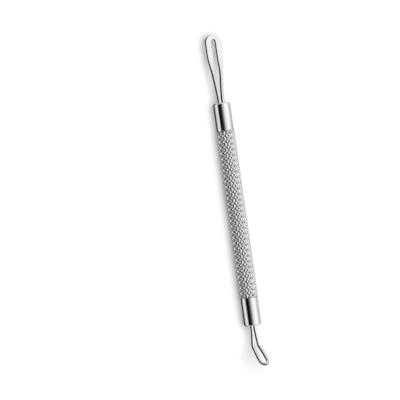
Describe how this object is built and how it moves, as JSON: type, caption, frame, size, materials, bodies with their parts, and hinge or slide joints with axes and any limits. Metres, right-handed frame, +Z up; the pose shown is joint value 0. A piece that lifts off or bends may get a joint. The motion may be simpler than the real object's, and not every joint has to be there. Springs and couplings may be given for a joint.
{
  "type": "blackhead extractor",
  "caption": "Double-ended steel blackhead extractor: knurled bar handle with a wide flat wire loop at one end and a narrow bent wire loop at the other.",
  "frame": {"origin": "centre of the bounding box's bottom face: on the table plane that the handle lies on, under the middle of the tool's length", "axes": "+Y along the handle towards the wide loop, +Z up, which is the side the narrow loop is bent to; both loops are symmetric about the YZ plane"},
  "size_m": [0.0062, 0.11, 0.009],
  "materials": {
    "handle_steel": "bright drawn stainless steel, polished ends and diamond-knurled grip",
    "plug_steel": "faced stainless steel",
    "wide_wire_steel": "satin-polished stainless steel wire, flattened at the head",
    "narrow_wire_steel": "polished stainless steel wire",
    "solder": "dull silver solder"
  },
  "bodies": {
    "root": {"wide_plain_end": "handle_steel", "wide_grip_half": "handle_steel", "narrow_grip_half": "handle_steel", "narrow_plain_end": "handle_steel", "wide_end_plug": "plug_steel", "narrow_end_plug": "plug_steel", "wide_loop": "wide_wire_steel", "narrow_loop": "narrow_wire_steel", "wide_end_solder": "solder", "narrow_end_solder": "solder"}
  },
  "joints": []
}
